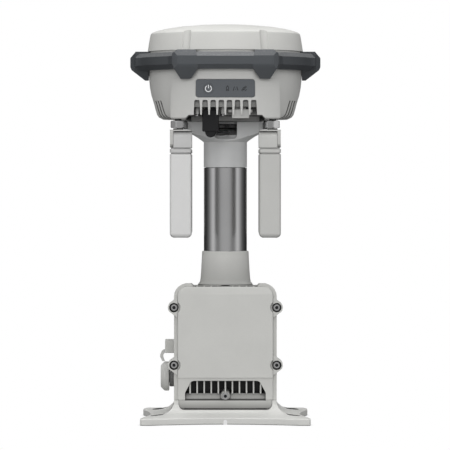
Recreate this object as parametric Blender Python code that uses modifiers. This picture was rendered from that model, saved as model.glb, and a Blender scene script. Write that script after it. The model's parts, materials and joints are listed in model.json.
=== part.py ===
"""GNSS base station: a receiver head with four rod antennas on a short pole, over a power box and a cast foot.

Run it with  blender --background --python part.py  or from Blender's text editor.
Lengths in this file are millimetres; MM turns them into Blender's metres.
+Z is up, the control panel faces -Y, and the origin is the centre of the foot's underside.
"""

import math

import bmesh
import bpy
from mathutils import Matrix, Vector

MM = 0.001
GAP = 0.3  # clearance between neighbouring pieces

# Heights above the ground
FOOT_EDGE = 5.2
FOOT_FLOOR = 11.1  # the seat under the box
FOOT_LIP = 19.2
BOX_BOTTOM = 11.4
BOX_STEP = 19.5  # the box is narrower below this
BOX_TOPS = (116.0, 118.2)  # middle and shoulders at the front
BOX_REAR_TOPS = (114.7, 116.3)
BOX_SEAT = 116.3
NECK_TOP = 144.9
SLEEVE_BOTTOM = 216.4
CONE_BOTTOM = 237.8
BRACKET_LEDGE = 244.8
BRACKET_TOP = 255.3
WINDOW_SILL = 243.8
HEAD_BOTTOM = 257.2
NOTCH_TOP = 260.4  # underside of the head between the antenna pillars
PORT_CEILING = 267.0
HEAD_FLOOR = 275.0
HEAD_TOP = 302.0
RADOME_BOTTOM = 303.6
GUARD_BOTTOM = 298.7
GUARD_TOP = 313.0
LUG_BOTTOM = 290.6
LUG_TOP = 314.8
RADOME_LIP = 315.1
RADOME_TOP = 338.1

# Receiver head
HEAD_RADIUS = 65.3
HEAD_CAVITY_HALF = 56.6  # half depth of the space inside the head
FACE_Y = -61.0  # the flat front face
PILLAR_HALF = 46.2
NOTCH_HALF = 30.9
RADOME_SKIRT = 65.6
GUARD_BORE = 65.9
GUARD_BAR_Y = 71.5  # distance of the guard's straight bars from the axis
GUARD_BAR_HALF = 44.5
GUARD_ARC = 75.5
LUG_RADIUS = 81.2
FLUTE_RADIUS = 4.3
FLUTE_AXIS = 67.1
WALL_DRAFT = 9.0  # degrees the radome's side leans in
COMB_PITCH = 6.8
SLITS = ((-28.0, 1.8), (-23.3, 2.0), (-17.4, 2.5))  # distance from the axis and width
PANEL_SIZE = (24.8, 275.1, 290.1)  # half width, bottom and top
BUTTON = (-14.2, 282.3)  # x and z
LIGHT_XS = (1.8, 8.6, 15.6)
BAY = (34.6, 13.6, 33.0, 263.4)  # battery bay: half length, near side, far side and floor
CELL_RADIUS = 9.2
BOARD_Z = 284.0

# Rod antennas
ANTENNA_XS = {-1: 39.7, 1: 35.8}  # connectors at the front and at the rear
ANTENNA_Y = 45.6
ROD_OFFSET = 2.2  # the rods hang this far inside the front connectors and outside the rear ones
ROD_HALF = (9.2, 6.4)
ROD_BOTTOM = 157.1
RING_BOTTOM = 228.7
RING_TOP = 231.6
PIVOT_Z = 240.1
KNUCKLE_PLATE = (246.9, 248.0)  # bottom and top of the hinge's top plate
ARM_THICKNESS = 2.9
ARM_RADIUS = 7.1  # foot of the hinge arm, about the pivot
HINGE_RADIUS = 6.6  # top of the rod, about the pivot
HINGE_GAP = 0.2
NUT = (249.4, 255.5, 6.6)  # bottom, top and radius over the corners
NUT_TURNS = (15.0, 36.5)  # how the nuts happen to stand on the left and on the right, degrees
STUB_RADIUS = 3.1

# Pole and cable
SLEEVE_RADIUS = 18.5
TUBE_RADIUS = 18.4
TUBE_BORE = 15.6
TUBE_BOTTOM = 121.0
PLUG_X = -12.45
PLUG_Y = -49.5
PORT_COVER_X = 12.8
CLAMP_SCREW_XS = (-23.6, -2.1)
CABLE_RADIUS = 1.6

# Power box
BOX_HALF = 43.5
BOX_FRONT = -34.0  # tips of the cooling fins
BOX_CORE = -24.0  # wall behind the fins
BOX_REAR = 30.0
COVER_HALF = 40.2
COVER_TOP = 115.5
COVER_BOTTOM = 19.6
COVER_FACE = -37.4
FIN_PITCH = 5.97
FIN_THICKNESS = 1.2
FIN_SPAN = 34.1
SCREW_XS = (-43.5, 43.5)
SCREW_HEIGHTS = (48.9, 97.7)
SCREW_SEAT = -33.0
VENT_SCREW_Z = 22.7
PORT = (-4.0, 37.8)  # y and z of the network port
CAP_RADIUS = 12.5

# Cast foot
FOOT_RISE = (  # how far in towards the plinth, and the height there
    (0.0, 4.8), (0.015, FOOT_EDGE), (0.1, 6.0), (0.35, 6.5), (0.6, 7.2), (0.8, 8.8), (0.93, 12.0), (1.0, 15.8),
    (1.0, FOOT_LIP),
)
PLINTH_HALF = (43.5, 34.0)
FOOT_CORNER = (71.6, 65.5)
FOOT_WAIST = (64.0, 52.0)
ARM_HOLE = (57.5, 38.0)

COLOURS = {  # colour, roughness, metallic
    "shell_plastic": ((0.56, 0.56, 0.54), 0.5, 0.0),
    "guard_rubber": ((0.10, 0.11, 0.12), 0.6, 0.0),
    "panel_film": ((0.09, 0.10, 0.11), 0.45, 0.0),
    "rod_plastic": ((0.60, 0.60, 0.59), 0.45, 0.0),
    "painted_casting": ((0.54, 0.54, 0.52), 0.45, 0.0),
    "satin_aluminium": ((0.45, 0.46, 0.46), 0.35, 0.9),
    "dark_anodised": ((0.15, 0.15, 0.15), 0.25, 0.9),
    "nickel": ((0.55, 0.55, 0.55), 0.3, 1.0),
    "brass": ((0.60, 0.45, 0.20), 0.35, 1.0),
    "black_plastic": ((0.02, 0.02, 0.02), 0.5, 0.0),
    "seal_rubber": ((0.03, 0.03, 0.03), 0.8, 0.0),
    "cap_rubber": ((0.40, 0.40, 0.39), 0.6, 0.0),
    "circuit_board": ((0.02, 0.15, 0.06), 0.5, 0.0),
    "battery_sleeve": ((0.05, 0.15, 0.35), 0.4, 0.0),
    "antenna_ceramic": ((0.70, 0.66, 0.55), 0.5, 0.0),
    "clear_plastic": ((0.80, 0.80, 0.80), 0.2, 0.0),
}

parts = None
cutters = None
materials = {}


# ---------------------------------------------------------------- scene


def clear_scene():
    for obj in list(bpy.data.objects):
        bpy.data.objects.remove(obj)


def collection(name):
    made = bpy.data.collections.new(name)
    bpy.context.scene.collection.children.link(made)
    return made


def make_materials():
    for name, (colour, roughness, metallic) in COLOURS.items():
        material = bpy.data.materials.new(name)
        material.use_nodes = True
        shader = material.node_tree.nodes["Principled BSDF"]
        shader.inputs["Base Color"].default_value = (*colour, 1.0)
        shader.inputs["Roughness"].default_value = roughness
        shader.inputs["Metallic"].default_value = metallic
        material.diffuse_color = (*colour, 1.0)
        materials[name] = material


# ---------------------------------------------------------------- modelling helpers


def link(name, mesh, material, at=(0, 0, 0)):
    """A part when it has a material, otherwise a tool body that isn't rendered."""
    obj = bpy.data.objects.new(name, mesh)
    obj.location = Vector(at) * MM
    if material:
        mesh.materials.append(materials[material])
        parts.objects.link(obj)
    else:
        cutters.objects.link(obj)
        obj.hide_render = True
        obj.display_type = "WIRE"
    return obj


def solid(name, bm, material, at):
    bmesh.ops.recalc_face_normals(bm, faces=bm.faces)
    mesh = bpy.data.meshes.new(name)
    bm.to_mesh(mesh)
    bm.free()
    return link(name, mesh, material, at)


def block(name, low, high, material=None, at=(0, 0, 0), bevel=0.0):
    low, high = Vector(low) * MM, Vector(high) * MM
    bm = bmesh.new()
    bmesh.ops.create_cube(bm, size=1.0)
    bmesh.ops.scale(bm, verts=bm.verts, vec=high - low)
    bmesh.ops.translate(bm, verts=bm.verts, vec=(low + high) / 2)
    if bevel:
        bmesh.ops.bevel(bm, geom=bm.edges, offset=bevel * MM, segments=2, profile=0.5, affect="EDGES")
    return solid(name, bm, material, at)


def axis_turn(axis):
    """Turns local Z onto the named axis."""
    return {
        "X": Matrix.Rotation(math.radians(90), 4, "Y"),
        "Y": Matrix.Rotation(math.radians(-90), 4, "X"),
        "Z": Matrix.Identity(4),
    }[axis]


def rod(name, radius, start, end, centre=(0, 0), axis="Z", material=None, at=(0, 0, 0), sides=20):
    """A cylinder from start to end along the axis. The centre is the other two coordinates in order."""
    bm = bmesh.new()
    bmesh.ops.create_cone(
        bm, cap_ends=True, segments=sides, radius1=radius * MM, radius2=radius * MM, depth=(end - start) * MM,
    )
    middle = (start + end) / 2
    place = {"X": (middle, *centre), "Y": (centre[0], middle, centre[1]), "Z": (*centre, middle)}[axis]
    bmesh.ops.transform(bm, matrix=Matrix.Translation(Vector(place) * MM) @ axis_turn(axis), verts=bm.verts)
    return solid(name, bm, material, at)


def prism(name, outlines, start, end, axis="Z", material=None, at=(0, 0, 0), bevel=0.0):
    """Each outline, a list of the other two coordinates in order, extruded along the axis."""
    place = {
        "X": lambda u, v: (start, u, v), "Y": lambda u, v: (u, start, v), "Z": lambda u, v: (u, v, start),
    }[axis]
    along = {"X": Vector((1, 0, 0)), "Y": Vector((0, 1, 0)), "Z": Vector((0, 0, 1))}[axis]
    bm = bmesh.new()
    for outline in outlines:
        face = bm.faces.new([bm.verts.new(Vector(place(u, v)) * MM) for u, v in outline])
        grown = bmesh.ops.extrude_face_region(bm, geom=[face])["geom"]
        moved = [item for item in grown if isinstance(item, bmesh.types.BMVert)]
        bmesh.ops.translate(bm, verts=moved, vec=along * (end - start) * MM)
    if bevel:
        rims = [edge for edge in bm.edges if abs((edge.verts[0].co - edge.verts[1].co).dot(along)) < 1e-7]
        bmesh.ops.bevel(bm, geom=rims, offset=bevel * MM, segments=2, profile=0.5, affect="EDGES")
    return solid(name, bm, material, at)


def loft(name, sections, material=None, at=(0, 0, 0)):
    """Skins closed sections, each a list of the same number of (x, y, z), and caps the first and last."""
    bm = bmesh.new()
    rings = [[bm.verts.new(Vector(point) * MM) for point in section] for section in sections]
    for lower, upper in zip(rings, rings[1:]):
        for i, vert in enumerate(lower):
            after = (i + 1) % len(lower)
            bm.faces.new((vert, lower[after], upper[after], upper[i]))
    bm.faces.new(rings[0])
    bm.faces.new(rings[-1])
    return solid(name, bm, material, at)


def stack(name, outline, levels, material=None, at=(0, 0, 0)):
    """The outline lofted up through levels of (height, inset), drawn in towards its own centre."""
    half_u = max(u for u, _ in outline)
    half_v = max(v for _, v in outline)
    sections = [
        [(u * (1 - inset / half_u), v * (1 - inset / half_v), height) for u, v in outline]
        for height, inset in levels
    ]
    return loft(name, sections, material, at)


def turned(name, profile, material=None, at=(0, 0, 0), steps=48, ring=False):
    """The (radius, height) profile swept about Z. A ring's profile closes on itself."""
    points = [(r * MM, 0.0, z * MM) for r, z in profile]
    edges = [(i, i + 1) for i in range(len(points) - 1)]
    if ring:
        edges.append((len(points) - 1, 0))
    mesh = bpy.data.meshes.new(name)
    mesh.from_pydata(points, edges, [])
    obj = link(name, mesh, material, at)
    screw = obj.modifiers.new("turn", "SCREW")
    screw.steps = steps
    screw.render_steps = steps
    screw.use_merge_vertices = True
    screw.merge_threshold = 0.00001
    screw.use_smooth_shade = True
    return obj


def boolean(target, operation, *others):
    for other in others:
        step = target.modifiers.new(other.name, "BOOLEAN")
        step.operation = operation
        step.solver = "EXACT"
        step.object = other
    return target


def cut(target, *others):
    return boolean(target, "DIFFERENCE", *others)


def add(target, *others):
    return boolean(target, "UNION", *others)


def keep(target, *others):
    return boolean(target, "INTERSECT", *others)


def mirror(obj, x=False, y=False):
    step = obj.modifiers.new("mirror", "MIRROR")
    step.use_axis = (x, y, False)
    step.use_mirror_merge = False
    return obj


def attach(child, parent):
    """Parents the child and leaves it where it stands."""
    child.parent = parent
    child.location = child.location - parent.location


def arc(radius, start, end, steps, centre=(0.0, 0.0)):
    """Points on an arc, with angles in degrees from the first axis."""
    angles = [math.radians(start + (end - start) * i / steps) for i in range(steps + 1)]
    return [(centre[0] + radius * math.cos(a), centre[1] + radius * math.sin(a)) for a in angles]


def rounded(low, high, radius, steps=4):
    """A rectangle with rounded corners, anticlockwise."""
    (u0, v0), (u1, v1) = low, high
    return (
        arc(radius, -90, 0, steps, (u1 - radius, v0 + radius))
        + arc(radius, 0, 90, steps, (u1 - radius, v1 - radius))
        + arc(radius, 90, 180, steps, (u0 + radius, v1 - radius))
        + arc(radius, 180, 270, steps, (u0 + radius, v0 + radius))
    )


# ---------------------------------------------------------------- receiver head


def make_radome():
    radome = turned("radome", [
        (0, RADOME_TOP), (22, 337.7), (40.9, 336.1), (52, 334.3), (58.5, 332.7), (62.6, 331.2), (63.9, 330.0),
        (64.5, 328.0), (65.7, 321.0), (66.6, RADOME_LIP), (RADOME_SKIRT, RADOME_LIP),
        (RADOME_SKIRT, RADOME_BOTTOM), (61.6, RADOME_BOTTOM), (61.0, 325.0), (58.5, 328.8), (52, 331.4), (0, 335.2),
    ], "shell_plastic")
    for index in range(6):
        angle = math.radians(30 + 60 * index)
        flute = rod(f"flute_{index}", FLUTE_RADIUS, -25, 25, sides=16)
        flute.location = Vector((FLUTE_AXIS * math.sin(angle), -FLUTE_AXIS * math.cos(angle), 321.0)) * MM
        flute.rotation_euler = (math.radians(-WALL_DRAFT), 0, angle)
        cut(radome, flute)
    low, high = HEAD_TOP + GAP, RADOME_BOTTOM - GAP
    turned("dome_seal", [(64.6, high), (64.6, low), (62.6, low), (62.6, high)], "seal_rubber", ring=True)


def guard_plan():
    """Straight bars front and rear, arcs at the corners and a blunt lug each side, anticlockwise."""
    quarter = [(GUARD_BAR_HALF - 4.2, -GUARD_BAR_Y), (GUARD_BAR_HALF, -GUARD_BAR_Y + 2.6)]
    quarter += arc(GUARD_ARC, -50.5, -17.0, 5)
    quarter += [(76.2, -18.0), (77.4, -10.0), (LUG_RADIUS, -5.0)]
    right = quarter + [(u, -v) for u, v in reversed(quarter)]
    return right + [(-u, -v) for u, v in right]


def make_guard():
    plan = guard_plan()
    levels = [(GUARD_BOTTOM, 4.2), (302.6, 0), (309.4, 0), (GUARD_TOP, 3.4)]
    guard = stack("guard_ring", plan, levels, "guard_rubber")
    side = prism("side_lugs", [[
        (60, LUG_BOTTOM), (68.7, LUG_BOTTOM), (80.1, 299.4), (81.4, 302.3), (81.4, 309.5), (76.4, LUG_TOP),
        (60, LUG_TOP),
    ]], -18, 18, "Y")
    side_front = prism("side_lug_front", [[
        (-4.3, 280), (4.3, 280), (4.3, LUG_BOTTOM), (10.4, 299), (15.5, 304), (14.5, 320), (-14.5, 320),
        (-15.5, 304), (-10.4, 299), (-4.3, LUG_BOTTOM),
    ]], 50, 90, "X")
    mirror(keep(side, side_front, stack("side_lug_plan", plan, [(270, 0.05), (330, 0.05)])), x=True)
    bar = prism("bar_lugs", [[
        (-50, LUG_BOTTOM), (-62.5, LUG_BOTTOM), (-70.3, 299.4), (-71.6, 302.6), (-71.6, 309.5), (-68.6, LUG_TOP),
        (-50, LUG_TOP),
    ]], 20, 46, "X")
    bar_front = prism("bar_lug_front", [[
        (29, 280), (37.6, 280), (37.6, LUG_BOTTOM), (43.2, 299), (44.4, 303), (44.4, 311.5), (40.5, 314.7),
        (40.5, 320), (25.5, 320), (22.8, 304), (23, 299), (29, LUG_BOTTOM),
    ]], -90, -40, "Y")
    bar_plan = stack("bar_lug_plan", plan, [(270, 0.05), (330, 0.05)])
    mirror(keep(bar, bar_front, bar_plan), x=True, y=True)
    add(guard, side, bar)
    cut(guard, rod("guard_bore", GUARD_BORE, 280, 330, sides=48))


def side_slits():
    """Three cooling slits at each lower corner of the head, following its curve."""
    slits = [
        [(46, y - width / 2), (75, y - width / 2), (75, y + width / 2), (46, y + width / 2)]
        for y, width in SLITS
    ]
    return mirror(prism("side_slits", slits, 250, 272.7), x=True, y=True)


def comb_slot(x):
    """One slot of the comb: round at the top and wider below, so the ribs taper."""
    right = [(2.85, 250), (2.85, 259), (2.2, 271.9), (1.9, 272.5), (1.2, 272.75)]
    return [(x + u, v) for u, v in right] + [(x - u, v) for u, v in reversed(right)]


def cut_ports(housing):
    """The comb across the front, the space behind it and the sockets in its ceiling."""
    ceiling = prism("port_space", [[
        (-57.6, 240), (-57.6, 273.0), (-54.5, PORT_CEILING), (-38, PORT_CEILING), (-38, 240),
    ]], -27.4, 27.4, "X")
    slots = prism("comb_slots", [comb_slot(COMB_PITCH * (i - 3.5)) for i in range(8)], -64, -56.5, "Y")
    cut(housing, ceiling, slots)
    for x in CLAMP_SCREW_XS:
        add(housing, rod("clamp_post", 2.3, 261.3, PORT_CEILING + 1, (x, PLUG_Y), sides=12))
        cut(housing, rod("clamp_hole", 1.2, 260, 266.5, (x, PLUG_Y), sides=12))
    cut(
        housing,
        block("usb_hole", (PLUG_X - 5.0, PLUG_Y - 2.3, 260), (PLUG_X + 5.0, PLUG_Y + 2.3, HEAD_FLOOR + 1)),
        block("card_hole", (PORT_COVER_X - 5.0, -50.0, 260), (PORT_COVER_X + 5.0, -46.0, 271.5)),
    )


def cut_panel_seat(housing):
    half, low, high = PANEL_SIZE
    x, z = BUTTON
    cut(
        housing,
        prism("panel_seat", [rounded((-half - GAP, low - GAP), (half + GAP, high + GAP), 2.5)], -70, -60.1, "Y"),
        rod("button_well", 4.4, -62, -58.2, (x, z), "Y"),
        rod("button_stem_hole", 2.0, -60, -54, (x, z), "Y", sides=16),
        prism("light_holes", [arc(1.9, 0, 330, 11, (lx, z)) for lx in LIGHT_XS], -62, -54, "Y"),
    )


def make_lower_housing():
    housing = turned("lower_housing", [
        (0, HEAD_TOP), (HEAD_RADIUS, HEAD_TOP), (HEAD_RADIUS, 298), (65.1, 290.7), (64.5, 284.5), (63.3, 278.0),
        (61, 270.5), (59.7, 265.4), (58.4, 261.2), (56.8, 259.0), (53.2, HEAD_BOTTOM), (0, HEAD_BOTTOM),
    ], "shell_plastic")
    shoulder = [(18, -61.8), (26, -60.6), (33, -58.0), (39.5, -54.2), (44.3, -50.2), (PILLAR_HALF, -47.6)]
    right = shoulder + [(u, -v) for u, v in reversed(shoulder)]
    levels = [(HEAD_BOTTOM + 0.01, 0.8), (HEAD_BOTTOM + 1, 0), (278, 0), (291, 1.3)]
    add(housing, stack("pillars", right + [(-u, -v) for u, v in right], levels))
    inside = turned("head_inside", [
        (0, 305), (62.2, 305), (62.2, 298), (62.0, 290), (61.0, 283), (59.0, HEAD_FLOOR), (0, HEAD_FLOOR),
    ])
    keep(inside, block("head_inside_depth", (-70, -HEAD_CAVITY_HALF, 270), (70, HEAD_CAVITY_HALF, 310)))
    half_length, near, far, floor = BAY
    notch = [(33.6, 240), (33.6, HEAD_BOTTOM + 0.4), (NOTCH_HALF, NOTCH_TOP)]
    notch += [(-u, v) for u, v in reversed(notch)]
    cut(
        housing,
        mirror(block("flat_faces", (-70, FACE_Y - 20, 240), (70, FACE_Y, 299.5)), y=True),
        inside,
        mirror(block("battery_bays", (-half_length, near, floor), (half_length, far, HEAD_FLOOR + 2)), y=True),
        prism("underside_notch", [notch], -90, NOTCH_HALF, "Y"),
        rod("insert_hole", 10.3, 250, 272.3, sides=32),
        side_slits(),
    )
    posts = rod("board_posts", 3.0, HEAD_FLOOR - 1, BOARD_Z - GAP, (40, 36), sides=12)
    add(housing, mirror(posts, x=True, y=True))
    cut_ports(housing)
    cut_panel_seat(housing)
    for face, x in ANTENNA_XS.items():
        sockets = rod("connector_holes", STUB_RADIUS + GAP, 250, 262.6, (x, face * ANTENNA_Y), sides=20)
        cut(housing, mirror(sockets, x=True))


def make_panel():
    """The film panel with its power button and the light guide that shines through it."""
    half, low, high = PANEL_SIZE
    x, z = BUTTON
    panel = prism("front_panel", [rounded((-half, low), (half, high), 2.3)], -61.2, -60.4, "Y", "panel_film")
    cut(panel, rod("button_window", 4.1, -65, -58, (x, z), "Y"))
    button = rod("power_button", 4.0, -1.3, 0.7, axis="Y", material="panel_film", at=(x, -60.0, z))
    add(button, rod("button_stem", 1.7, -59.5, -55.6, (x, z), "Y", sides=12))
    guide = block("light_guide", (-0.5, -56.3, z - 2.6), (18.0, -55.1, z + 2.6), "clear_plastic")
    add(guide, prism("light_pins", [arc(1.6, 0, 330, 11, (lx, z)) for lx in LIGHT_XS], -60.1, -56.0, "Y"))


def make_electronics():
    board = rod("main_board", 54.0, BOARD_Z, BOARD_Z + 1.6, material="circuit_board", sides=48)
    keep(board, block("board_width", (-60, -52, 280), (60, 52, 290)))
    block("gnss_module", (-19, -14, BOARD_Z + 1.9), (19, 14, BOARD_Z + 5.4), "nickel", bevel=0.4)
    rod("ground_plane", 58.5, 309.0, 310.2, material="satin_aluminium", sides=48)
    turned("antenna_element", [
        (0, 322.0), (34, 322.0), (38, 319.0), (38, 310.5), (0, 310.5),
    ], "antenna_ceramic", steps=40)
    half_length, near, far, floor = BAY
    for name, sign in (("front", -1), ("rear", 1)):
        rod(
            f"battery_cell_{name}", CELL_RADIUS, 1 - half_length, half_length - 1,
            (sign * (near + far) / 2, floor + CELL_RADIUS + GAP), "X", "battery_sleeve",
        )
    turned("threaded_insert", [
        (10.0, 271.9), (10.0, NOTCH_TOP + 0.1), (8.0, NOTCH_TOP + 0.1), (8.0, 271.9),
    ], "brass", steps=32, ring=True)


def make_ports():
    """The power plug with its socket, the clamp screws and the pull-down port cover."""
    x, y = PLUG_X, PLUG_Y
    socket = block("usb_socket", (x - 4.7, y - 2.0, PORT_CEILING), (x + 4.7, y + 2.0, HEAD_FLOOR + 3), "nickel")
    cut(socket, block("socket_mouth", (x - 4.4, y - 1.7, 260), (x + 4.4, y + 1.7, 275.5)))
    plug = block("usb_plug", (x - 6.95, y - 4.8, 246.3), (x + 6.95, y + 4.8, 264.9), "black_plastic", bevel=0.9)
    boot = [(x - 4.6, 247.5)] + arc(4.6, 180, 360, 8, (x, 246.0)) + [(x + 4.6, 247.5)]
    tongue = block("plug_tongue", (x - 4.1, y - 1.3, 263), (x + 4.1, y + 1.3, 273.5))
    add(plug, prism("plug_boot", [boot], y - 3.2, y + 3.2, "Y"), tongue)
    for name, screw_x in zip(("left", "right"), CLAMP_SCREW_XS):
        turned(f"clamp_screw_{name}", [
            (0, 266.0), (0.9, 266.0), (0.9, 261.0), (2.0, 261.0), (2.0, 259.9), (1.3, 259.4), (0.8, 259.4),
            (0.8, 260.2), (0, 260.2),
        ], "nickel", at=(screw_x, y, 0), steps=16)
    place = (PORT_COVER_X, -48.0, 261.3)
    cover = block("port_cover", (-7.3, -8.0, -3.7), (7.3, 8.0, 3.7), "cap_rubber", place, bevel=0.8)
    lip = block("port_cover_lip", (PORT_COVER_X - 10.2, -50, 262.6), (PORT_COVER_X + 10.0, -46, 264.8))
    bung = block("port_cover_bung", (PORT_COVER_X - 4.7, -49.7, 264), (PORT_COVER_X + 4.7, -46.3, 271.1))
    add(cover, lip, bung)


# ---------------------------------------------------------------- rod antennas


def make_antenna(corner, x, y, offset):
    """One folding rod antenna on the connector at x, y. Its rod's centre is offset in x from the connector."""
    turned(f"connector_{corner}", [
        (0, 262.2), (STUB_RADIUS, 262.2), (STUB_RADIUS, 250.2), (2.6, 249.7), (0, 249.7),
    ], "nickel", at=(x, y, 0), steps=12)

    bottom, top, radius = NUT
    middle = (bottom + top) / 2
    turn = NUT_TURNS[x > 0]
    nut = stack(f"coupling_nut_{corner}", arc(radius, turn, turn + 300, 5), [
        (bottom - middle, 0.7), (bottom + 0.6 - middle, 0), (top - 0.6 - middle, 0), (top - middle, 0.7),
    ], "nickel", at=(x, y, middle))
    cut(nut, rod(f"nut_bore_{corner}", STUB_RADIUS + GAP, 240, 262, (x, y), sides=20))

    half_x, half_y = ROD_HALF
    centre = x + offset
    outward = -1 if offset > 0 else 1  # the side of the rod that the hinge arm is on
    joint = centre + outward * (half_x - ARM_THICKNESS)

    def across(start, end):
        """A span in x from the hinge plane, with distances counted towards the arm."""
        return sorted((joint + outward * start, joint + outward * end))

    low, high = KNUCKLE_PLATE
    plate = [(u + offset, v) for u, v in rounded((-half_x, -half_y), (half_x, half_y), 2.6, 3)]
    knuckle = prism(
        f"knuckle_{corner}", [plate], low - PIVOT_Z, high - PIVOT_Z, material="rod_plastic", at=(x, y, PIVOT_Z),
    )
    arm = arc(ARM_RADIUS, -142, -38, 8, (y, PIVOT_Z))
    near, far = y - half_y + 0.05, y + half_y - 0.05
    arm += [(far, 243), (far, low + 0.6), (near, low + 0.6), (near, 243)]
    add(
        knuckle,
        prism(f"hinge_arm_{corner}", [arm], *across(0, ARM_THICKNESS - 0.1), "X"),
        rod(f"pivot_pin_{corner}", 2.6, *across(-7, 1), (y, PIVOT_Z), "X", sides=16),
        rod(f"swivel_neck_{corner}", 4.2, low + 0.6, bottom - GAP, (x, y), sides=24),
    )

    section = rounded((-half_x, -half_y), (half_x, half_y), 2.6, 3)
    shaft = stack(f"antenna_rod_{corner}", section, [
        (ROD_BOTTOM - PIVOT_Z, 3.0), (ROD_BOTTOM + 1.0 - PIVOT_Z, 1.2), (ROD_BOTTOM + 2.3 - PIVOT_Z, 0.3),
        (ROD_BOTTOM + 3.6 - PIVOT_Z, 0),
        (RING_BOTTOM - 1.4 - PIVOT_Z, 0), (RING_BOTTOM - 1.1 - PIVOT_Z, 1.0), (RING_BOTTOM - 0.3 - PIVOT_Z, 1.0),
        (RING_BOTTOM - PIVOT_Z, 0), (RING_TOP - PIVOT_Z, 0), (RING_TOP + 0.3 - PIVOT_Z, 1.0),
        (RING_TOP + 1.0 - PIVOT_Z, 1.0),
    ], "rod_plastic", at=(centre, y, PIVOT_Z))
    head = [(y - half_y + 0.02, RING_TOP + 1.3), (y + half_y - 0.02, RING_TOP + 1.3)]
    head += arc(HINGE_RADIUS, 14, 166, 10, (y, PIVOT_Z))
    near, far = y - half_y + 1.2, y + half_y - 1.2
    neck = [(near, RING_TOP), (far, RING_TOP), (far, 235), (near, 235)]
    add(
        shaft,
        prism(f"rod_head_{corner}", [head], *across(-HINGE_GAP, ARM_THICKNESS - 2 * half_x), "X"),
        prism(f"rod_neck_{corner}", [neck], *across(-GAP - 0.5, ARM_THICKNESS + 1.0 - 2 * half_x), "X"),
    )
    cut(shaft, rod(f"pivot_hole_{corner}", 2.9, *across(-7.3, 3), (y, PIVOT_Z), "X", sides=16))
    attach(shaft, knuckle)


# ---------------------------------------------------------------- mount and pole


def make_mount():
    plate = stack("mounting_plate", rounded((-28.9, -28.9), (28.9, 28.9), 3), [
        (BRACKET_TOP + GAP, 0.5), (BRACKET_TOP + 0.8, 0), (NOTCH_TOP - 0.8, 0), (NOTCH_TOP - GAP, 0.5),
    ], "painted_casting")
    wings = block("plate_wings", (-33.0, 4, BRACKET_TOP + GAP), (33.0, 28, HEAD_BOTTOM - GAP))
    add(plate, wings)
    cut(plate, rod("plate_hole", 8.2, 250, 270, sides=32))

    front = [(0, -19.8), (10, -19.2), (19, -17.2), (25, -14.6), (28.9, -12.2), (31.8, -7.0)]
    half = front + [(u, -v) for u, v in reversed(front)]
    outline = half + [(-u, -v) for u, v in half[1:-1]]
    bracket = prism("pole_bracket", [outline], CONE_BOTTOM - 1, BRACKET_TOP, "Z", "satin_aluminium")
    funnel = turned("bracket_funnel", [
        (0, 262), (42, 262), (42, 251.5), (30.4, 245.6), (28.6, BRACKET_LEDGE - 0.3), (24.6, 242.2),
        (20.8, 239.6), (SLEEVE_RADIUS - 0.01, CONE_BOTTOM), (SLEEVE_RADIUS - 0.01, 230), (0, 230),
    ])
    keep(bracket, funnel)
    sleeve = turned("bracket_sleeve", [
        (0, 238), (SLEEVE_RADIUS, 238), (SLEEVE_RADIUS, SLEEVE_BOTTOM), (17.0, SLEEVE_BOTTOM),
        (17.0, SLEEVE_BOTTOM - 1.1), (15.3, SLEEVE_BOTTOM - 1.1), (15.3, 201), (14.8, 200), (0, 200),
    ])
    add(bracket, sleeve)
    cut(
        bracket,
        rod("bracket_bore", 9.5, 190, 246, sides=32),
        rod("bolt_space", 14.2, WINDOW_SILL, 253.4, sides=32),
        rod("bracket_bolt_hole", 8.2, 250, 260, sides=32),
        prism("bracket_window", [rounded((-9.4, 240.6), (9.9, 266), 3.4)], -40, -15.2, "Y"),
        block("bracket_window_deep", (-9.4, -16, WINDOW_SILL + 0.02), (9.9, -9.4, 262)),
    )
    bolt = rod("mounting_bolt", 7.6, 251.5, 269.5, material="nickel", sides=32)
    add(bolt, turned("bolt_head", [
        (0, 253.1), (12.2, 253.1), (12.6, 252.7), (12.6, 251.7), (12.0, 251.3), (12.6, 250.9), (12.6, 249.7),
        (12.0, 249.3), (0, 249.3),
    ], steps=32))


def make_pole():
    turned("pole_tube", [
        (TUBE_RADIUS, SLEEVE_BOTTOM - GAP), (TUBE_RADIUS, TUBE_BOTTOM), (TUBE_BORE, TUBE_BOTTOM),
        (TUBE_BORE, SLEEVE_BOTTOM - 1.4), (17.3, SLEEVE_BOTTOM - 1.4), (17.3, SLEEVE_BOTTOM - GAP),
    ], "dark_anodised", ring=True)
    bore = TUBE_RADIUS + 0.25
    turned("pole_socket", [
        (19.5, NECK_TOP), (19.9, NECK_TOP - 0.5), (20.2, 138), (20.8, 127), (21.3, 121), (21.9, 118.4),
        (23.4, BOX_SEAT + GAP), (8.0, BOX_SEAT + GAP), (8.0, TUBE_BOTTOM - GAP), (bore, TUBE_BOTTOM - GAP),
        (bore, NECK_TOP),
    ], "painted_casting", steps=40, ring=True)


def make_cable():
    """The power lead, from the plug through the bracket's window and down the pole into the box."""
    path = [
        (-7.5, -49.5, 244.3), (-4.0, -49.2, 244.4), (-0.5, -46.5, 244.8), (1.6, -41.0, 245.4), (2.0, -34.0, 245.7),
        (2.0, -9.2, 245.7), (2.0, -6.0, 244.0), (1.8, -3.4, 240.5), (1.2, -1.5, 233.0), (0, 0, 222.0),
        (0, 0, 140.0), (0, 0, 100.0),
    ]
    curve = bpy.data.curves.new("power_cable", "CURVE")
    curve.dimensions = "3D"
    curve.bevel_depth = CABLE_RADIUS * MM
    curve.bevel_resolution = 2
    curve.use_fill_caps = True
    curve.render_resolution_u = 0
    spline = curve.splines.new("POLY")
    spline.points.add(len(path) - 1)
    for point, place in zip(spline.points, path):
        point.co = (*(Vector(place) * MM), 1.0)
    curve.materials.append(materials["black_plastic"])
    cable = bpy.data.objects.new("power_cable", curve)
    parts.objects.link(cable)


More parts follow.
